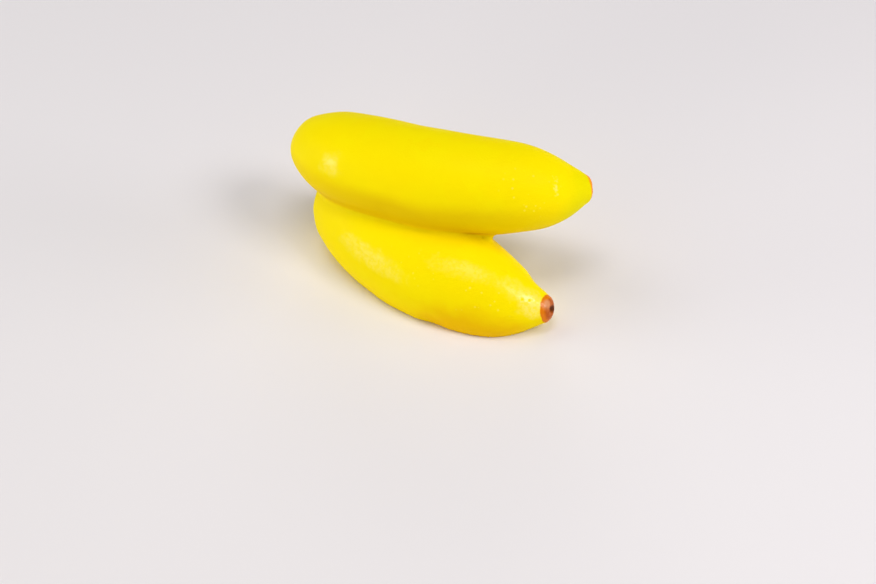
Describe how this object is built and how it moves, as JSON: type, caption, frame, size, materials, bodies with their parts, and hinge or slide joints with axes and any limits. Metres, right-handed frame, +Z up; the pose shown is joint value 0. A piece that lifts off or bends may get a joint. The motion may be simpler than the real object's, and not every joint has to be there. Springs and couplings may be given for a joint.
{
  "type": "banana-shaped moulded dessert",
  "caption": "Single-portion moulded dessert in the shape of joined stubby bananas, one lying on the other, with a smooth yellow glaze, brown tips and a flat base.",
  "frame": {"origin": "centre of the bounding box at the plane of the flat base", "axes": "+X runs to the right, towards the brown tips and along the longest extent; +Y runs to the back; +Z is up"},
  "size_m": [0.0826, 0.0646, 0.0444],
  "materials": {
    "yellow_glaze": "satin"
  },
  "bodies": {
    "root": {"banana_pair": "yellow_glaze"}
  },
  "joints": []
}
